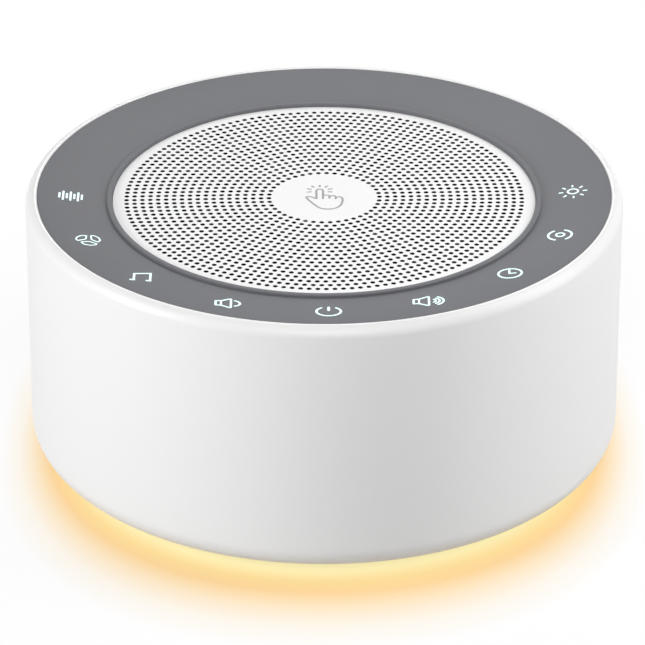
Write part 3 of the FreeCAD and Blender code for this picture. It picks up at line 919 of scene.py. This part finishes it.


# The night light: a ring of frosted plastic under the lower edge, with twelve warm lamps
# behind it. Its glow is painted, as an emission in place of the lamps' light through it, and
# it is painted a little brighter in front of each lamp.
glow_inside = 46.85
glow_outside = 49.85
glow_under = 1.9
lamp_count = 12
shape = bmesh.new()
spun(shape, [(glow_inside, glow_under), (glow_outside, glow_under),
             (glow_outside, floor_under), (glow_inside, floor_under)],
     [(0.5, 5, (1,)), (0.15, 2, (0,))], shell_steps)
glow_look, shader, place = new_look("warm_frosted_ring")
angle = place.node("ShaderNodeMath", {"operation": "ARCTAN2"},
                   {0: place.axis("Y"), 1: place.axis("X")})
painted_lamp_spots = angle.math("COSINE", angle * float(lamp_count)) * 0.5 + 0.5
frost = place.noise(700.0, 3.0)
place.plug(shader.inputs["Base Color"], frost.mixed(colour(250, 240, 214), colour(255, 247, 228)))
# Painted glow: the emission colour is brighter in front of each of the twelve lamps.
place.plug(shader.inputs["Emission Color"], (painted_lamp_spots * 0.6 + frost * 0.2).mixed(
    colour(255, 226, 158), colour(255, 240, 190)))
place.plug(shader.inputs["Roughness"], 0.5 + frost * 0.15)
place.plug(shader.inputs["Normal"], frost.bump(0.3, 0.0001))
shader.inputs["Emission Strength"].default_value = 0.9
ring_piece = finished("glow_ring", shape, glow_look)
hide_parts("light_diffuser")


# The base cover is a white disc with a softened edge and two shallow grooves, held in the
# shell's floor by four hooks. Four black rubber pads are glued under it.
base_radius = 48.15
base_under = 0.7
base_top = 1.9
groove_top = base_under + 0.3
groove_slope = 0.2
shape = bmesh.new()
grooves = [corner for outer, inner in ((33.0, 31.6), (18.0, 16.8))
           for corner in ((outer, base_under), (outer - groove_slope, groove_top),
                          (inner + groove_slope, groove_top), (inner, base_under))]
spun(shape, [(0.0, base_top), (base_radius, base_top), (base_radius, base_under)]
     + grooves + [(0.0, base_under)],
     [(0.35, 4, (2,)), (0.1, 2, (1, 3, 6, 7, 10))], 180)
hook_outer = 33.06
hook_inner = hook_outer - 1.4
hook_tip = hook_outer + 1.2
hook_catch = floor_top + 0.1
hook_top = 8.3
hook_width = 8.0
for hook in range(4):
    drawn_out(shape, [(hook_inner, base_top), (hook_outer, base_top), (hook_outer, hook_catch),
                      (hook_tip, hook_catch), (hook_tip, hook_catch + 0.5),
                      (hook_outer + 0.4, hook_top), (hook_inner, hook_top)],
              [(0.2, 3, (3, 4, 5, 6))], -hook_width / 2, hook_width / 2, 90.0 * hook)
base_look = moulded("white_base_plastic", colour(232, 232, 231), colour(226, 226, 225),
                    0.55, 0.00035, 0.0001)
base = finished("base_disc", shape, base_look)
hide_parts("base_cover")

foot_middle = 41.15
foot_size = (6.0, 16.0, 0.7)
foot_corner = 1.6
foot_edge = 0.22
shape = bmesh.new()
for foot in range(4):
    pad = bmesh.new()
    bmesh.ops.create_cube(pad, size=1.0)
    bmesh.ops.scale(pad, vec=[s * MM for s in foot_size], verts=pad.verts[:])
    bmesh.ops.translate(pad, vec=(foot_middle * MM, 0.0, foot_size[2] / 2 * MM),
                        verts=pad.verts[:])
    upright = [e for e in pad.edges if abs(e.verts[0].co.z - e.verts[1].co.z) > 0.5 * MM]
    bmesh.ops.bevel(pad, geom=upright, offset=foot_corner * MM, segments=6, profile=0.5,
                    material=-1, affect="EDGES")
    lower = [e for e in pad.edges if max(v.co.z for v in e.verts) < 0.1 * MM]
    bmesh.ops.bevel(pad, geom=lower, offset=foot_edge * MM, segments=3, profile=0.5,
                    material=-1, affect="EDGES")
    turned(pad, 45.0 + 90.0 * foot)
    bmesh.ops.recalc_face_normals(pad, faces=pad.faces[:])
    add_to(shape, pad)
feet_look, shader, place = new_look("black_foot_rubber")
grit = place.noise(1500.0, 3.0)
place.plug(shader.inputs["Base Color"], grit.mixed(colour(34, 34, 35), colour(54, 54, 55)))
place.plug(shader.inputs["Roughness"], 0.75 + grit * 0.15)
place.plug(shader.inputs["Normal"], grit.bump(0.4, 0.00008))
feet = finished("rubber_pads", shape, feet_look)
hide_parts("rubber_feet")


# The table: a white ground with a warm pool of light painted round the machine, in the
# colours of the ring's glow. Close by it takes the machine's shadow, and farther out it is
# plain white. It is clear when it is looked at from below, so that the machine's base can be
# seen.
floor_size = 6.0
floor_level = -0.05
shape = bmesh.new()
bmesh.ops.create_grid(shape, x_segments=8, y_segments=8, size=floor_size / 2,
                      matrix=Matrix.Translation((0.0, 0.0, floor_level * MM)))
table_look, shader, place = new_look("table_white_painted_pool")
radius = place.length()
aside = place.math("ABSOLUTE", place.axis("X")) / radius
# Painted light: the warm pool is a ramp of colours by distance from the axis, narrower at the sides.
pool_start = 48.0
pool_end = 78.0
side_loss = 0.53
pool_width = (pool_end - pool_start) * (1.0 - side_loss * aside * aside * aside)
pool = ((radius / MM - pool_start) / pool_width).clamped()
stops = [(49.0, (255, 242, 185)), (53.0, (255, 224, 157)), (56.5, (255, 217, 158)),
         (62.0, (255, 235, 203)), (68.0, (255, 248, 237)), (76.0, (255, 255, 255))]
ramp = [((r - pool_start) / (pool_end - pool_start), colour(*tint)) for r, tint in stops]
warm = place.node("ShaderNodeValToRGB", {"stops": ramp}, {"Fac": pool})
seen = place.seen()
shadow_reach = 0.12
shadow_share = 0.25
near = (1.0 - radius / shadow_reach).clamped()
place.plug(shader.inputs["Base Color"], seen.mixed(colour(190, 190, 190), warm))
shader.inputs["Roughness"].default_value = 0.9
shader.inputs["Specular IOR Level"].default_value = 0.0
light = place.node("ShaderNodeEmission", {}, {"Color": warm, "Strength": 1.0})
share = seen * (1.0 - near * shadow_share)
matt = Wire(place.tree, shader.outputs[0])
lit = place.node("ShaderNodeMixShader", {}, {0: share, 1: matt, 2: light})
from_below = place.node("ShaderNodeNewGeometry", {}, {}, "Backfacing")
clear = place.node("ShaderNodeBsdfTransparent", {}, {})
one_sided = place.node("ShaderNodeMixShader", {}, {0: from_below, 1: lit, 2: clear})
place.plug(place.tree.nodes["Material Output"].inputs["Surface"], one_sided)
floor = finished("table", shape, table_look, body=None)


# Plain soft studio light: tall softboxes at the left and the right, higher ones at the
# right, in front and behind, and a small one close by. The surround is dim and even, and
# it is white wherever the camera sees it.
def softbox(name, azimuth, elevation, distance, width, height, watts):
    """An area lamp at a bearing from the front, in degrees, that faces the machine."""
    lamp = bpy.data.lights.new(name, "AREA")
    lamp.shape = "RECTANGLE"
    lamp.size = width
    lamp.size_y = height
    lamp.energy = watts
    holder = bpy.data.objects.new(name, lamp)
    bearing = math.radians(azimuth)
    rise = math.radians(elevation)
    aim = Vector((0.0, 0.0, 0.03))
    holder.location = aim + distance * Vector((math.sin(bearing) * math.cos(rise),
                                               -math.cos(bearing) * math.cos(rise),
                                               math.sin(rise)))
    holder.rotation_euler = (aim - holder.location).to_track_quat("-Z", "Y").to_euler()
    bpy.context.scene.collection.objects.link(holder)


softbox("left_softbox", -70.0, 14.0, 0.9, 0.25, 0.5, 5.1)
softbox("right_softbox", 90.0, 14.0, 0.9, 0.25, 0.5, 2.2)
softbox("right_upper_softbox", 90.0, 38.0, 0.9, 0.4, 0.4, 1.2)
softbox("right_near_softbox", 90.0, 45.0, 0.4, 0.2, 0.2, 0.38)
softbox("front_softbox", 0.0, 38.0, 0.9, 0.4, 0.4, 2.85)
softbox("back_softbox", 180.0, 38.0, 0.9, 0.4, 0.4, 1.6)
world = bpy.data.worlds.new("surround")
world.use_nodes = True
bpy.context.scene.world = world
air = Wire(world.node_tree)
surround_light = 0.12
backdrop = world.node_tree.nodes["Background"]
backdrop.inputs["Color"].default_value = (1.0, 1.0, 1.0, 1.0)
air.plug(backdrop.inputs["Strength"], surround_light + air.seen() * (1.0 - surround_light))
bpy.context.scene.view_settings.view_transform = "Standard"
